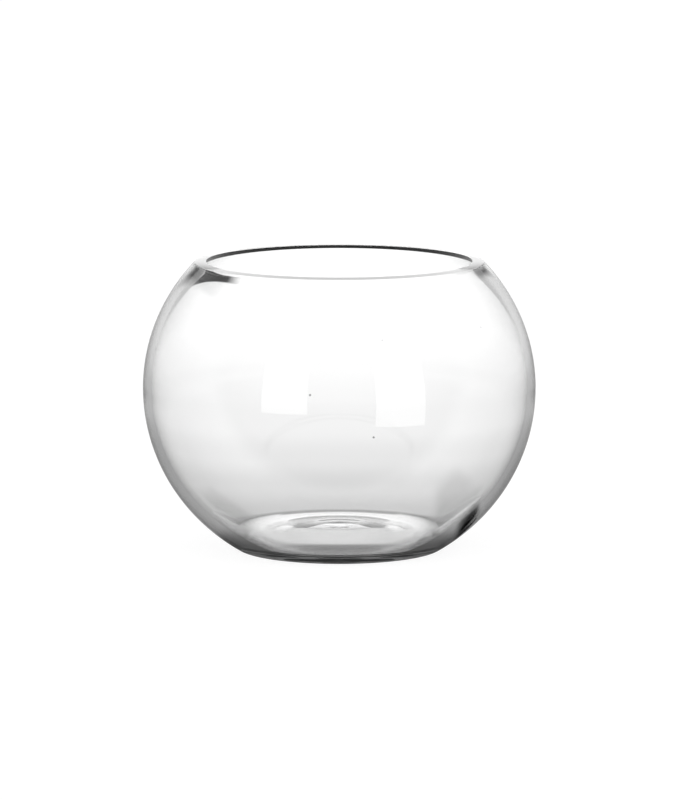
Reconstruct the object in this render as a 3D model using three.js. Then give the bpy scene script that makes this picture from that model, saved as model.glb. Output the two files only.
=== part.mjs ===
// A clear bubble bowl: one piece of blown glass with a level rim, a thin curved wall and a rippled
// base that is pushed up in the middle and stands on a narrow flat ring.
// Millimetres, +Z up. The origin is the middle of the ring that the bowl stands on.
import * as THREE from "three";

// Driving dimensions
const BODY_DIAMETER = 200; // outside, at the widest level
const BODY_HEIGHT = 147.5; // table to the highest ring of the lip
const WIDEST_LEVEL = 82.5; // table to the widest level
const MOUTH_DIAMETER = 135; // clear opening inside the lip
const WALL = 4.3; // glass at the widest level
const LIP_TOP = 5.4; // straight top of the lip, between its rounded edges
const LIP_SLOPE = 5; // degrees by which that top falls towards the outside
const LIP_OUTER_EDGE = 0.9; // rounding between the top of the lip and the outside
const LIP_INNER_EDGE = 0.3; // rounding between the top of the lip and the inside
const FOOT_DIAMETER = 100; // outer edge of the flat ring underneath
const FOOT_RING_WIDTH = 5; // width of that flat ring
const FOOT_CORNER = 5; // rounding between the outside and the ring
const HOLLOW_HEIGHT = 4; // how far the middle of the underside is pushed up inside the ring
const BASE_THICKNESS = 6.5; // glass between the hollow and the floor, at the middle
const FLOOR_LEVEL = 7.5; // table to the edge of the inside floor
const FLOOR_DIAMETER = 104; // inside floor, up to where it turns into the wall
const FLOOR_CORNER = 5; // rounding between the floor and the wall
const RIPPLE_COUNT = 3; // rings of the wavy floor
const RIPPLE_HEIGHT = 0.3; // crest to trough

// Fineness of the mesh
const SIDES = 56; // flats round the axis
const WALL_STEPS = 8; // spans of each half of the wall, above and below the widest level
const CORNER_STEPS = 4; // spans of a rounded corner of the base
const LIP_STEPS = 2; // spans of a quarter of the lip's rounding
const HOLLOW_STEPS = 6; // spans from the middle of the hollow to the ring
const RIPPLE_STEPS = 4; // spans of one ripple

const CLEAR_GLASS = new THREE.MeshStandardMaterial({
  color: 0xeef2f2,
  roughness: 0.02,
  metalness: 0,
  transparent: true,
  opacity: 0.3,
});

const outerReach = BODY_DIAMETER / 2;
const innerReach = outerReach - WALL;

// Spans between 0 and 1, ends included.
function spans(count) {
  return Array.from({ length: count + 1 }, (_, step) => step / count);
}

// Points of an arc about `centre`, both ends included.
function arc(centre, radius, fromAngle, toAngle, steps) {
  return spans(steps).map((share) => {
    const angle = THREE.MathUtils.lerp(fromAngle, toAngle, share);
    return new THREE.Vector2(Math.cos(angle), Math.sin(angle)).multiplyScalar(radius).add(centre);
  });
}

// A quarter ellipse about the axis at the widest level that is `reach` wide there and passes
// through `end`. at(0) is its point at the widest level and at(1) is the end. The point comes with
// its outward normal, so that a skin can be laid at a distance from it.
function quarterEllipse(reach, end) {
  const rise = end.y - WIDEST_LEVEL;
  const endAngle = Math.acos(end.x / reach) * Math.sign(rise);
  const halfHeight = rise / Math.sin(endAngle);
  return function at(share) {
    const angle = endAngle * share;
    const point = new THREE.Vector2(
      reach * Math.cos(angle),
      WIDEST_LEVEL + halfHeight * Math.sin(angle),
    );
    const normal = new THREE.Vector2(Math.cos(angle) / reach, Math.sin(angle) / halfHeight);
    return { point, normal: normal.normalize() };
  };
}

// Half a wall: upright and `reach` wide at the widest level, and running into a rounded edge about
// `centre`. A rounding below 0 lies on the axis side of the wall. Gives the points from the widest
// level to the edge, and the direction from the edge's centre to the last of them.
function halfWall(reach, centre, rounding) {
  const ellipse = quarterEllipse(reach - rounding, centre);
  const points = spans(WALL_STEPS).map((share) => {
    const { point, normal } = ellipse(share);
    return point.addScaledVector(normal, rounding);
  });
  return { points, normalAngle: ellipse(1).normal.angle() };
}

// The lower half of a cup, from the widest level, through a rounded corner, to the edge of a level
// disc of `discRadius` at `discLevel`.
function cup(reach, discRadius, discLevel, corner) {
  const centre = new THREE.Vector2(discRadius, discLevel + corner);
  const { points, normalAngle } = halfWall(reach, centre, corner);
  const turn = arc(centre, corner, normalAngle - 2 * Math.PI, -Math.PI / 2, CORNER_STEPS);
  return [...points, ...turn.slice(1)];
}

// The upper half of the bowl, from the widest level outside, over the lip, to the same level inside.
function shoulder() {
  const innerCentre = new THREE.Vector2(
    MOUTH_DIAMETER / 2 + LIP_INNER_EDGE,
    BODY_HEIGHT - LIP_INNER_EDGE,
  );
  const slope = THREE.MathUtils.degToRad(LIP_SLOPE);
  const alongTop = new THREE.Vector2(Math.cos(slope), -Math.sin(slope));
  const squareToTop = new THREE.Vector2(Math.sin(slope), Math.cos(slope));
  const outerCentre = innerCentre
    .clone()
    .addScaledVector(alongTop, LIP_TOP)
    .addScaledVector(squareToTop, LIP_INNER_EDGE - LIP_OUTER_EDGE);
  const outer = halfWall(outerReach, outerCentre, LIP_OUTER_EDGE);
  const inner = halfWall(innerReach, innerCentre, -LIP_INNER_EDGE);
  const top = squareToTop.angle();
  const highest = Math.PI / 2;
  const mouth = Math.PI;
  const under = inner.normalAngle + Math.PI;
  return [
    ...outer.points,
    ...arc(outerCentre, LIP_OUTER_EDGE, outer.normalAngle, top, LIP_STEPS).slice(1),
    ...arc(innerCentre, LIP_INNER_EDGE, top, highest, 1),
    ...arc(innerCentre, LIP_INNER_EDGE, highest, mouth, LIP_STEPS).slice(1),
    ...arc(innerCentre, LIP_INNER_EDGE, mouth, under, LIP_STEPS).slice(1, -1),
    ...inner.points.reverse(),
  ];
}

// The underside, from the middle of the hollow to the inner edge of the ring.
function hollow() {
  const radius = FOOT_DIAMETER / 2 - FOOT_RING_WIDTH;
  return spans(HOLLOW_STEPS).map((share) => {
    const height = (HOLLOW_HEIGHT * (1 + Math.cos(Math.PI * share))) / 2;
    return new THREE.Vector2(radius * share, height);
  });
}

// The floor, from its edge to the middle: a low swell with whole rings of ripples about the axis.
function floor() {
  const rise = HOLLOW_HEIGHT + BASE_THICKNESS - FLOOR_LEVEL;
  return spans(RIPPLE_COUNT * RIPPLE_STEPS)
    .reverse()
    .map((share) => {
      const swell = (1 + Math.cos(Math.PI * share)) / 2;
      const ripple = (1 - Math.cos(2 * Math.PI * RIPPLE_COUNT * share)) / 2;
      const level = FLOOR_LEVEL + rise * swell + RIPPLE_HEIGHT * ripple;
      return new THREE.Vector2((FLOOR_DIAMETER / 2) * share, level);
    });
}

// Half of the bowl's section, from the axis under the base, round the lip, to the axis on the floor.
function section() {
  const outerCup = cup(outerReach, FOOT_DIAMETER / 2, 0, FOOT_CORNER);
  const innerCup = cup(innerReach, FLOOR_DIAMETER / 2, FLOOR_LEVEL, FLOOR_CORNER);
  return [
    ...hollow(),
    ...outerCup.reverse(),
    ...shoulder().slice(1),
    ...innerCup.slice(1),
    ...floor().slice(1),
  ];
}

function glassBowl() {
  const geometry = new THREE.LatheGeometry(section(), SIDES);
  geometry.rotateX(Math.PI / 2); // the lathe turns about Y, and the bowl stands along Z
  const mesh = new THREE.Mesh(geometry, CLEAR_GLASS);
  mesh.name = "glass_bowl";
  return mesh;
}

const bowl = new THREE.Group();
bowl.add(glassBowl());

export default bowl;
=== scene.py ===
# %% [markdown]
# # A clear glass bowl
#
# This lesson dresses one measured part: a round bowl of clear blown glass, the kind that holds
# flowers, floating candles or a small fish. The part's sizes are fixed already. Here the bowl gets a
# finer surface, real glass, and a white table in soft studio light.
#
# Glass has no colour of its own to paint. What the eye reads is the room, bent by the shape. So most
# of the work goes into the exact section of the glass, and the rest into the room round it.

# %% Load the measured part
import math

import bpy
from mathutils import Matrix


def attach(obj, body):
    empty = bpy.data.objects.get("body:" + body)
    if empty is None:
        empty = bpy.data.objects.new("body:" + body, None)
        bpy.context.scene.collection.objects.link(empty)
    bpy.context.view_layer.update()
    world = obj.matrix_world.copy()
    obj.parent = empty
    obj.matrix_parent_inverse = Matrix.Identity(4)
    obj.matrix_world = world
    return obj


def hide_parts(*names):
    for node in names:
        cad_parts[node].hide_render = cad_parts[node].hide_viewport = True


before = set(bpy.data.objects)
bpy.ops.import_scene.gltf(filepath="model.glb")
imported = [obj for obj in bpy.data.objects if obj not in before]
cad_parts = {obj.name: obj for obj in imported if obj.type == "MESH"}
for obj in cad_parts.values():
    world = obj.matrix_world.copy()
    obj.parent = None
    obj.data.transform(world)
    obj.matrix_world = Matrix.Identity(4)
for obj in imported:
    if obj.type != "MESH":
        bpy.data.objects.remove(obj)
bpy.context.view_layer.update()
bpy.ops.object.select_all(action="DESELECT")

# %% [markdown]
# ## The section of the glass
#
# A blown bowl is round about its axis, so half of its section says everything. It could be modelled
# as a ball with the top cut off and a Solidify modifier, but that gives one even thickness, and the
# eye knows glass by where it gets thicker. Here the section is worked out as a maker would draw it:
# two quarter ellipses outside, two inside, and small arcs where they turn. Every arc shares its
# tangent with the wall that it meets, because glass shows the smallest kink as a dark line. The top of
# the lip is straight and falls a little towards the outside.

# %% The sizes of the bowl, in metres
BODY_RADIUS = 0.1000
BODY_HEIGHT = 0.1475
WIDEST_LEVEL = 0.0825
MOUTH_RADIUS = 0.0675
WALL = 0.0043
LIP_TOP = 0.0054
LIP_SLOPE = math.radians(5)
LIP_OUTER_EDGE = 0.0009
LIP_INNER_EDGE = 0.0003
FOOT_RADIUS = 0.0500
FOOT_RING_WIDTH = 0.0050
FOOT_CORNER = 0.0050
HOLLOW_HEIGHT = 0.0040
BASE_THICKNESS = 0.0065
FLOOR_LEVEL = 0.0075
FLOOR_RADIUS = 0.0520
FLOOR_CORNER = 0.0050
RIPPLE_COUNT = 3
RIPPLE_HEIGHT = 0.0003
print("bowl:", BODY_RADIUS * 2000, "mm wide,", BODY_HEIGHT * 1000, "mm tall")

# %% How many spans each part of the section has
WALL_STEPS = 30
LINING_STEPS = 80
LINING_CROWDING = 0.55
CORNER_STEPS = 10
OUTER_EDGE_STEPS = 8
INNER_EDGE_STEPS = 14
HOLLOW_STEPS = 24
FLOOR_STEPS = 48
print("spans: up to", LINING_STEPS, "in one curve, closest where the inner surface meets the floor")

# %% Arcs and walls of the section
def spans(count):
    """Numbers from 0 to 1 in even steps, ends included."""
    return [step / count for step in range(count + 1)]


def arc(centre, radius, start, end, count):
    """Points (radius, level) of an arc about a centre."""
    angles = [start + (end - start) * share for share in spans(count)]
    return [(centre[0] + radius * math.cos(a), centre[1] + radius * math.sin(a)) for a in angles]


def half_wall(reach, centre, rounding, count, crowding=1):
    """A wall from the widest level to a rounded edge, and the direction in which it meets the edge.

    Crowding below 1 sets the points closer together towards the edge.
    """
    wide = reach - rounding
    rise = centre[1] - WIDEST_LEVEL
    last = math.acos(centre[0] / wide) * math.copysign(1, rise)
    high = rise / math.sin(last)
    points = []
    for share in spans(count):
        angle = last * share ** crowding
        across, along = math.cos(angle) / wide, math.sin(angle) / high
        length = math.hypot(across, along)
        points.append((wide * math.cos(angle) + rounding * across / length,
                       WIDEST_LEVEL + high * math.sin(angle) + rounding * along / length))
    return points, math.atan2(along, across)


def cup(reach, disc_radius, disc_level, corner, count, crowding=1):
    """The lower half of a wall, turned through a corner onto a level disc."""
    centre = (disc_radius, disc_level + corner)
    wall, direction = half_wall(reach, centre, corner, count, crowding)
    return wall + arc(centre, corner, direction, -math.pi / 2, CORNER_STEPS)[1:]


# %% The whole section, from under the base, over the lip, to the middle of the floor
def shoulder():
    inner_centre = (MOUTH_RADIUS + LIP_INNER_EDGE, BODY_HEIGHT - LIP_INNER_EDGE)
    across, upright = math.cos(LIP_SLOPE), math.sin(LIP_SLOPE)
    rounder = LIP_OUTER_EDGE - LIP_INNER_EDGE
    outer_centre = (inner_centre[0] + LIP_TOP * across - rounder * upright,
                    inner_centre[1] - LIP_TOP * upright - rounder * across)
    top = math.pi / 2 - LIP_SLOPE
    outside, outer_direction = half_wall(BODY_RADIUS, outer_centre, LIP_OUTER_EDGE, WALL_STEPS)
    inside, inner_direction = half_wall(BODY_RADIUS - WALL, inner_centre, -LIP_INNER_EDGE, WALL_STEPS)
    outer_edge = arc(outer_centre, LIP_OUTER_EDGE, outer_direction, top, OUTER_EDGE_STEPS)
    under = inner_direction + math.pi
    inner_edge = arc(inner_centre, LIP_INNER_EDGE, top, under, INNER_EDGE_STEPS)
    return outside + outer_edge[1:] + inner_edge + inside[::-1][1:]


def underside():
    radius = FOOT_RADIUS - FOOT_RING_WIDTH
    return [(radius * s, HOLLOW_HEIGHT * (1 + math.cos(math.pi * s)) / 2) for s in spans(HOLLOW_STEPS)]


def floor_of_the_bowl():
    rise = HOLLOW_HEIGHT + BASE_THICKNESS - FLOOR_LEVEL
    points = []
    for share in spans(FLOOR_STEPS):
        swell = (1 + math.cos(math.pi * share)) / 2
        ripple = (1 - math.cos(2 * math.pi * RIPPLE_COUNT * share)) / 2
        points.append((FLOOR_RADIUS * share, FLOOR_LEVEL + rise * swell + RIPPLE_HEIGHT * ripple))
    return points[::-1]


outside_cup = cup(BODY_RADIUS, FOOT_RADIUS, 0, FOOT_CORNER, WALL_STEPS)
inside_cup = cup(BODY_RADIUS - WALL, FLOOR_RADIUS, FLOOR_LEVEL, FLOOR_CORNER, LINING_STEPS, LINING_CROWDING)
inner_surface = inside_cup[1:] + floor_of_the_bowl()[1:]
section = underside() + outside_cup[::-1] + shoulder()[1:] + inner_surface
print("section:", len(section), "points, top at", round(max(z for r, z in section) * 1000, 2), "mm")

# %% [markdown]
# ## Turning the section into the bowl
#
# The glassblower turns the soft glass on an iron, and Blender's Spin does the same. A small plane is
# merged to one point, the point is extruded from place to place along the section, and the outline is
# spun once round the axis. The two ends lie on the axis, so merging doubles closes both poles. After
# that the normals are recalculated, because Spin may leave the shape inside out.

# %% Draw the section by extruding one point
SIDES = 256

bpy.ops.mesh.primitive_plane_add(size=0.001, location=(0, 0, 0))
bowl = bpy.context.object
bowl.name = bowl.data.name = "clear_bowl"
bpy.ops.object.mode_set(mode="EDIT")
bpy.ops.mesh.merge(type="CENTER")
bpy.ops.transform.translate(value=(section[0][0], 0, section[0][1]))
for before, after in zip(section, section[1:]):
    step = (after[0] - before[0], 0, after[1] - before[1])
    bpy.ops.mesh.extrude_region_move(TRANSFORM_OT_translate={"value": step})
bpy.ops.object.mode_set(mode="OBJECT")
lining = bowl.vertex_groups.new(name="lining")
lining.add(range(len(section) - len(inner_surface), len(section)), 1, "REPLACE")
print("drawn:", len(bowl.data.vertices), "points,", len(inner_surface), "of them inside the bowl")

# %% Spin it round the axis
bpy.ops.object.mode_set(mode="EDIT")
bpy.ops.mesh.select_all(action="SELECT")
bpy.ops.mesh.spin(steps=SIDES, angle=2 * math.pi, center=(0, 0, 0), axis=(0, 0, 1))
bpy.ops.mesh.select_all(action="SELECT")
bpy.ops.mesh.remove_doubles(threshold=0.000002)
bpy.ops.mesh.select_mode(type="VERT")
bpy.ops.mesh.select_all(action="DESELECT")
bpy.ops.object.mode_set(mode="OBJECT")
print("spun:", len(bowl.data.vertices), "points")

# %% [markdown]
# ## The uneven base
#
# The base of a blown bowl is never quite even. The last glass to set sags to one side and runs a
# little way up the wall, and its edge stays in the corner as a fine bright line. Here it runs high on
# the right and low on the left. Pulling points up by hand with proportional editing leaves lumps, and
# glass shows every lump. So a wide roller is laid into the corner, and a Shrinkwrap modifier lifts the
# inner surface of the bowl onto it wherever it lies below the roller. A Smooth modifier rounds the edge.

# %% Lay a roller into the corner
def raise_lining(form):
    """Raises the parts of the lining that lie below a form onto it, and removes the form."""
    bpy.context.view_layer.objects.active = bowl
    wrap = bowl.modifiers.new("raise", "SHRINKWRAP")
    wrap.target = form
    wrap.vertex_group = "lining"
    wrap.wrap_method = "PROJECT"
    wrap.use_project_z = True
    bpy.ops.object.modifier_apply(modifier=wrap.name)
    bpy.ops.object.select_all(action="DESELECT")
    form.select_set(True)
    bpy.ops.object.delete()


def run_up(bearing, away, level, steepness, radius):
    """Fills the corner of the floor up to a hollow curve that ends at a level on the wall.

    The bearing is from +X and the steepness is the slope at that end, both in degrees.
    """
    turn, slope = math.radians(bearing), math.radians(steepness)
    outward = (math.cos(turn), math.sin(turn), 0)
    middle = away - radius * math.sin(slope)
    axis = (middle * outward[0], middle * outward[1], level + radius * math.cos(slope))
    bpy.ops.mesh.primitive_cylinder_add(vertices=2880, radius=radius, depth=0.3,
                                        rotation=(math.pi / 2, 0, turn), location=axis)
    bpy.ops.object.mode_set(mode="EDIT")
    bpy.ops.mesh.select_all(action="SELECT")
    bpy.ops.mesh.bisect(plane_co=axis, plane_no=(0, 0, 1), clear_outer=True)
    bpy.ops.mesh.select_all(action="SELECT")
    bpy.ops.mesh.bisect(plane_co=axis, plane_no=outward, clear_inner=True)
    bpy.ops.object.mode_set(mode="OBJECT")
    raise_lining(bpy.context.object)


def soften(rounds):
    """Rounds the creases of the lining."""
    smooth = bowl.modifiers.new("soften", "SMOOTH")
    smooth.vertex_group = "lining"
    smooth.iterations = rounds
    bpy.ops.object.modifier_apply(modifier=smooth.name)


# %% Let the glass run up the wall on the right and on the left
run_up(bearing=-4, away=0.073, level=0.0245, steepness=38, radius=0.450)
run_up(bearing=186, away=0.066, level=0.0172, steepness=33, radius=0.200)
soften(rounds=3)
print("lining: raised on both sides,", len(bowl.data.vertices), "points")

# %% Turn the surface outwards and smooth its shading
bpy.ops.object.select_all(action="DESELECT")
bowl.select_set(True)
bpy.ops.object.mode_set(mode="EDIT")
bpy.ops.mesh.select_all(action="SELECT")
bpy.ops.mesh.normals_make_consistent(inside=False)
bpy.ops.object.mode_set(mode="OBJECT")
bpy.ops.object.shade_smooth()
print("bowl:", len(bowl.data.vertices), "points,", len(bowl.data.polygons), "faces")

# %% [markdown]
# ## Seeds
#
# Air that was stirred into the melt stays in the glass as tiny bubbles, which glassmakers call seeds.
# Painted dots would lie on the surface. A real seed is a hole inside the wall, so each one is a small
# ball turned inside out and joined to the bowl.

# %% A few seeds in the middle of the wall
def middle_of_the_wall(level):
    """The distance from the axis at which a level cuts the wall, halfway through the glass."""
    cuts = []
    for (r, z), (next_r, next_z) in zip(section, section[1:]):
        if min(z, next_z) < level <= max(z, next_z):
            cuts.append(r + (next_r - r) * (level - z) / (next_z - z))
    return (cuts[0] + cuts[1]) / 2


SEEDS = (  # bearing from the front in degrees, level and radius in metres
    (-73.5, 0.1055, 0.0005),
    (-8.5, 0.0925, 0.0005),
    (10.0, 0.0715, 0.0005),
    (13.5, 0.1185, 0.0003),
    (51.5, 0.1205, 0.0003),
)
for bearing, level, size in SEEDS:
    turn, away = math.radians(bearing), middle_of_the_wall(level)
    bpy.ops.object.select_all(action="DESELECT")
    bpy.ops.mesh.primitive_ico_sphere_add(subdivisions=3, radius=size,
                                          location=(away * math.sin(turn), -away * math.cos(turn), level))
    bpy.ops.object.shade_smooth()
    bpy.ops.object.mode_set(mode="EDIT")
    bpy.ops.mesh.select_all(action="SELECT")
    bpy.ops.mesh.flip_normals()
    bpy.ops.object.mode_set(mode="OBJECT")
    bowl.select_set(True)
    bpy.context.view_layer.objects.active = bowl
    bpy.ops.object.join()
print("seeds:", len(SEEDS), "and", len(bowl.data.polygons), "faces with them")

# %% [markdown]
# ## Writing shader maths as Python
#
# A material is a tree of nodes. One small class wraps a socket, so that an expression such as
# `1 - mask` adds its Math node by itself, and one method adds every other kind of node.

# %% A socket that can be calculated with
class Value:
    """One output of a node, with arithmetic."""

    def __init__(self, tree, socket):
        self.tree, self.socket = tree, socket

    def maths(self, operation, first, second):
        return add_node(self.tree, "ShaderNodeMath", {"operation": operation}, {0: first, 1: second})

    def __add__(self, other):
        return self.maths("ADD", self, other)

    def __sub__(self, other):
        return self.maths("SUBTRACT", self, other)

    def __rsub__(self, other):
        return self.maths("SUBTRACT", other, self)

    def __mul__(self, other):
        return self.maths("MULTIPLY", self, other)

    def __lt__(self, other):
        return self.maths("LESS_THAN", self, other)

    __radd__, __rmul__ = __add__, __mul__


def ramped(value, low, high, first, last, blend="LINEAR"):
    """A number that goes from first to last while the value goes from low to high."""
    ends = {"Value": value, "From Min": low, "From Max": high, "To Min": first, "To Max": last}
    return add_node(value.tree, "ShaderNodeMapRange", {"interpolation_type": blend}, ends)


def between(value, start, full, fade, end):
    """1 between two values of a number and 0 outside them, with soft ends."""
    return ramped(value, start, full, 0.0, 1.0) * ramped(value, fade, end, 1.0, 0.0)


def set_stops(ramp, stops):
    """Sets the greys of a colour ramp from (position, grey) pairs."""
    ramp.interpolation = "EASE"
    for _ in stops[2:]:
        ramp.elements.new(0.5)
    for element, (position, grey) in zip(ramp.elements, stops):
        element.position = position
        element.color = (grey, grey, grey, 1)


def add_node(tree, kind, settings, inputs, output=0):
    """Adds a node, sets it up, fills or links its sockets, and gives one of its outputs."""
    node = tree.nodes.new(kind)
    for name, setting in settings.items():
        if name == "stops":
            set_stops(node.color_ramp, setting)
        else:
            setattr(node, name, setting)
    for name, given in inputs.items():
        if isinstance(given, Value):
            tree.links.new(given.socket, node.inputs[name])
        else:
            node.inputs[name].default_value = given
    return Value(tree, node.outputs[output])


def coordinates(tree, vector):
    """The three coordinates of a place or a direction."""
    return [add_node(tree, "ShaderNodeSeparateXYZ", {}, {"Vector": vector}, axis) for axis in "XYZ"]


def new_tree(owner):
    """An empty node tree with its output node."""
    owner.use_nodes = True
    owner.node_tree.nodes.clear()
    kind = "ShaderNodeOutputWorld" if isinstance(owner, bpy.types.World) else "ShaderNodeOutputMaterial"
    return owner.node_tree, owner.node_tree.nodes.new(kind)


# %% [markdown]
# ## Clear glass
#
# Soda-lime glass bends light with an index of about 1.5, and takes so little of it that only the thick
# base turns grey. Volume Absorption does that: it dims light by the length of glass that it crosses,
# where a grey base colour would dim the thin wall just as much. A perfectly even surface looks like a
# computer's glass, though. Blown glass keeps slow waves from the breath and the tools, and a Noise
# texture with a faint Bump gives those.

# %% The glass
glass = bpy.data.materials.new("clear_glass")
tree, output = new_tree(glass)
place = add_node(tree, "ShaderNodeTexCoord", {}, {}, "Object")
waves = add_node(tree, "ShaderNodeTexNoise", {}, {"Vector": place, "Scale": 11.0, "Detail": 1.0})
wavy = add_node(tree, "ShaderNodeBump", {}, {"Height": waves, "Strength": 0.3, "Distance": 0.0008})
shine = add_node(tree, "ShaderNodeBsdfPrincipled", {}, {
    "Base Color": (1, 1, 1, 1),
    "Roughness": 0.0,
    "IOR": 1.5,
    "Transmission Weight": 1.0,
    "Normal": wavy,
})
tree.links.new(shine.socket, output.inputs["Surface"])
depth = add_node(tree, "ShaderNodeVolumeAbsorption", {}, {"Color": (0.40, 0.41, 0.41, 1), "Density": 10.0})
tree.links.new(depth.socket, output.inputs["Volume"])
bowl.data.materials.append(glass)
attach(bowl, "root")
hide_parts("glass_bowl")
print("glass:", len(tree.nodes), "nodes")

# %% [markdown]
# ## The white room
#
# A white picture of clear glass has a trap: where everything round the glass is white, the glass
# vanishes. A photographer keeps the white straight behind the glass and lets the rest of the studio
# differ, so that the rims and the base, which bend light the most, turn dark. The Light Path node
# tells what a ray has been through. The camera and light that came straight through the glass meet
# the white background, which ends a little way to each side, where only the bent edges of the bowl
# look. Light that the glass mirrored meets the studio, bright overhead and dim behind, with a dark
# corner high up on each side, which the shoulders of the bowl pick up as dark strokes. It fades with
# every further mirroring. For light that was mirrored inside the bowl the front of the studio is dimmer
# too, or the near lip would show in the far wall as a dark arch. All other light is plain and even.

# %% What a ray has been through
def path(tree, name):
    return add_node(tree, "ShaderNodeLightPath", {}, {}, name)


def kinds_of_ray(tree):
    """How far a ray is seen by the camera, came through the glass, or was mirrored in it."""
    seen = path(tree, "Is Camera Ray")
    sharp = path(tree, "Is Glossy Ray")
    mirrorings = path(tree, "Glossy Depth")
    through = path(tree, "Is Transmission Ray") * (mirrorings < 0.5)
    mirrored = sharp * (1 - through) * ramped(mirrorings, 1.0, 7.0, 1.0, 0.1)
    plain = 1 - seen - sharp
    return seen, through, mirrored, plain


def crossed(tree, count):
    """1 for a ray that has crossed at least so many surfaces of the glass."""
    return 1 - (path(tree, "Transmission Depth") < count - 0.5)


# %% The studio
studio = bpy.data.worlds.new("studio")
bpy.context.scene.world = studio
tree, output = new_tree(studio)
direction = add_node(tree, "ShaderNodeTexCoord", {}, {}, "Generated")
seen, through, mirrored, plain = kinds_of_ray(tree)
sideways, backwards, height = coordinates(tree, direction)
upwards = add_node(tree, "ShaderNodeVectorMath", {"operation": "DOT_PRODUCT"},
                   {0: direction, 1: (0, -0.36, 0.93)}, "Value")
overhead = ramped(upwards, -0.1, 0.85, 0.8, 1.95, "SMOOTHSTEP")
backdrop = ramped(backwards, 0.975, 0.992, 0.0, 0.85)
in_front = ramped(backwards, -0.25, -0.05, 0.6, 0.0) * crossed(tree, 2)
aside = ramped(sideways * sideways, 0.018, 0.028, 0.0, 0.7) * crossed(tree, 4)
print("studio: bright overhead, with a backdrop,", len(tree.nodes), "nodes")

# %% Its dark corners, and the light of it all
# The edges of the corners are slanting: they lie where height plus or minus sideways has one value.
left_side = ramped(sideways, -0.33, -0.25, 1.0, 0.0) * ramped(backwards, 0.25, 0.45, 0.0, 1.0)
left_corner = between(height + sideways, -0.25, -0.19, 0.04, 0.12) * left_side
right_side = between(sideways, 0.25, 0.30, 0.50, 0.56) * ramped(backwards, 0.65, 0.75, 0.0, 1.0)
right_corner = ramped(height - sideways, -0.205, -0.17, 0.0, 1.0) * right_side
corners = left_corner * 0.88 + right_corner * 0.92
studio_light = overhead * (1 - in_front) * (1 - corners) + backdrop
strength = seen + plain * 0.9 + through * (1.1 - aside) + mirrored * studio_light
sky = add_node(tree, "ShaderNodeBackground", {}, {"Color": (1, 1, 1, 1), "Strength": strength})
tree.links.new(sky.socket, output.inputs["Surface"])
print("studio:", len(tree.nodes), "nodes")

# %% [markdown]
# ## The table
#
# The table is one large pale plane. To the camera it is white, with a share of real shading, so that
# the bowl keeps its soft shadow. The glass shows more of it, and there its light and shade are painted.
# Close to the bowl it is painted in the bowl's shade. Under the base a pool of light is painted, where the
# thick glass would gather light like a lens, and the pool is cut straight at the front. Far behind on the
# left the glow is painted black, for a dark room past the table's end: only the shoulder under the lip
# bends the view that far. Tracing all of that light would take thousands of samples for a few dim shapes,
# so the table glows by distance instead, with a ramp for each of them.

# %% The table top
HAIR_BELOW = -0.0003
bpy.ops.mesh.primitive_circle_add(vertices=64, radius=12, fill_type="NGON", location=(0, 0, HAIR_BELOW))
table = bpy.context.object
table.name = "table"
bpy.ops.object.transform_apply(location=True, rotation=True, scale=True)

paint = bpy.data.materials.new("pale_table")
tree, output = new_tree(paint)
place = add_node(tree, "ShaderNodeTexCoord", {}, {}, "Object")


def by_distance(centre, *stops):
    """A grey that changes with the distance from a point. The stops are (metres, grey) pairs."""
    furthest = stops[-1][0]
    offset = add_node(tree, "ShaderNodeVectorMath", {"operation": "SUBTRACT"}, {0: place, 1: centre})
    distance = add_node(tree, "ShaderNodeVectorMath", {"operation": "LENGTH"}, {0: offset}, "Value")
    shares = [(metres / furthest, grey) for metres, grey in stops]
    return add_node(tree, "ShaderNodeValToRGB", {"stops": shares}, {"Fac": distance * (1 / furthest)})


seen, through, mirrored = kinds_of_ray(tree)[:3]
across, away = coordinates(tree, place)[:2]
print("table:", len(table.data.polygons), "face")

# %% What the glass shows of the table
# A painted pool of light under the base, where the thick glass would gather light like a lens, cut straight
# at the front.
painted_pool_front_edge = ramped(away, -0.031, -0.025, 0.0, 1.0)
painted_pool_of_light = by_distance((0, 0.010, 0), (0.040, 0.70), (0.052, 0.0)) * painted_pool_front_edge
# Painted shade: the glow is dark close to the bowl, where its shade would fall, and grows lighter with
# distance.
shaded = by_distance((0, 0, 0), (0.058, 0.12), (0.066, 0.36), (0.076, 0.56), (0.15, 0.73), (0.25, 0.90),
                     (0.40, 1.01))
far = by_distance((0, 0, 0), (0.40, 0.0), (1.2, 0.22))
# Painted dark: far behind on the left the glow is cut to black for light that crossed four surfaces; the
# table plane itself goes on.
past_the_painted_end = ramped(across + away * 0.199, 0.173, 0.179, 0.0, 1.0)
on_the_left = ramped(across + away * 0.07, -0.05, -0.016, 1.0, 0.0)
painted_dark_end = past_the_painted_end * on_the_left * crossed(tree, 4)
glow_through = (shaded + painted_pool_of_light + far) * (1 - painted_dark_end)
print("through the glass: shade, pool of light and dark end,", len(tree.nodes), "nodes")

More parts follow.
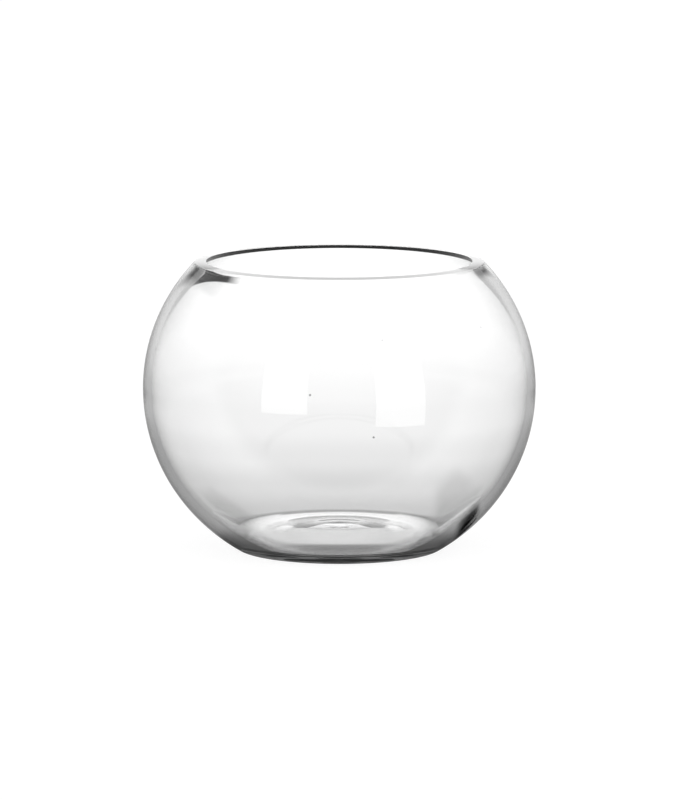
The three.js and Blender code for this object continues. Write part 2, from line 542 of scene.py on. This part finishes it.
# %% What it mirrors of the table, and the light of it all
# The mirrored table is painted too: dark close to the bowl for its shade, a painted shade on the right of
# the base, and a painted glow behind the base.
dim = by_distance((0, 0, 0), (0.058, 0.10), (0.072, 0.42), (0.15, 0.40), (0.50, 0.54), (2.0, 0.72))
shade_on_the_right = by_distance((0.078, 0, 0), (0.010, 0.0), (0.020, 1.0))
painted_glow_behind_the_base = by_distance((0, 0.055, 0), (0.010, 0.5), (0.020, 0.0))
glow_mirrored = dim * shade_on_the_right + painted_pool_of_light + painted_glow_behind_the_base
glow = seen * 1.1 + through * glow_through + mirrored * glow_mirrored
shading = add_node(tree, "ShaderNodeBsdfDiffuse", {}, {"Color": (0.9, 0.9, 0.9, 1)})
light = add_node(tree, "ShaderNodeEmission", {}, {"Color": (1, 1, 1, 1), "Strength": glow})
top = add_node(tree, "ShaderNodeMixShader", {}, {0: seen * 0.2, 1: light, 2: shading})
tree.links.new(top.socket, output.inputs["Surface"])
table.data.materials.append(paint)
print("table paint:", len(tree.nodes), "nodes")

# %% [markdown]
# ## Two windows of light
#
# Two tall softboxes stand in front of the bowl, one at each side of the camera. Each shows in the front
# of the glass as a pale window. Glowing planes would show as well, but the renderer aims at lamps
# directly, and that keeps the table's soft shading clean. They are seen by mirroring only, so that they
# never stand in the way.

# %% The softboxes
def softbox(name, sideways, lowest, highest, width, distance, radiance):
    """An area lamp that faces the bowl. sideways is its bearing from the camera's side, in degrees."""
    tall = highest - lowest
    lamp = bpy.data.lights.new(name, "AREA")
    lamp.shape = "RECTANGLE"
    lamp.size, lamp.size_y = width, tall
    lamp.energy = radiance * math.pi * width * tall
    box = bpy.data.objects.new(name, lamp)
    bpy.context.scene.collection.objects.link(box)
    bearing = math.radians(sideways)
    box.location = (distance * math.sin(bearing), -distance * math.cos(bearing), (lowest + highest) / 2)
    box.rotation_euler = (math.pi / 2, 0, bearing)
    box.visible_camera = box.visible_transmission = False
    return box


RADIANCE = 2.2
softboxes = [
    softbox("left_window", sideways=-29.5, lowest=0.02, highest=0.42, width=0.24, distance=0.55,
            radiance=RADIANCE),
    softbox("right_window", sideways=30.5, lowest=0.02, highest=0.25, width=0.135, distance=0.30,
            radiance=RADIANCE),
]
print("softboxes:", [tuple(round(c, 2) for c in box.location) for box in softboxes])

# %% [markdown]
# ## The camera
#
# A short lens close to the bowl would fill the frame too, but it would look deep into the mouth. This lens
# is long and far away, so the mouth is a flat ellipse and the sides hardly converge. Light turns many
# times inside the glass, so its paths are allowed many bounces before they are cut off.

# %% The camera
DISTANCE = 3.3
LOOK_DOWN = math.radians(8.252)
AIM_LEVEL = 0.075

view = bpy.data.cameras.new("camera")
camera = bpy.data.objects.new("camera", view)
bpy.context.scene.collection.objects.link(camera)
camera.location = (0, -DISTANCE * math.cos(LOOK_DOWN), AIM_LEVEL + DISTANCE * math.sin(LOOK_DOWN))
camera.rotation_euler = (math.pi / 2 - LOOK_DOWN, 0, 0)
view.sensor_fit = "VERTICAL"
view.sensor_height = 36
view.lens = 291.5
view.shift_x = 0.00275
view.shift_y = 0.0027
view.clip_end = 100
bpy.context.scene.camera = camera
print("camera:", [round(c, 3) for c in camera.location])

# %% How the picture is developed
scene = bpy.context.scene
scene.view_settings.view_transform = "Standard"
BOUNCES = 24
scene.cycles.max_bounces = scene.cycles.transmission_bounces = scene.cycles.glossy_bounces = BOUNCES
print("view transform:", scene.view_settings.view_transform, "with", scene.cycles.max_bounces, "bounces")
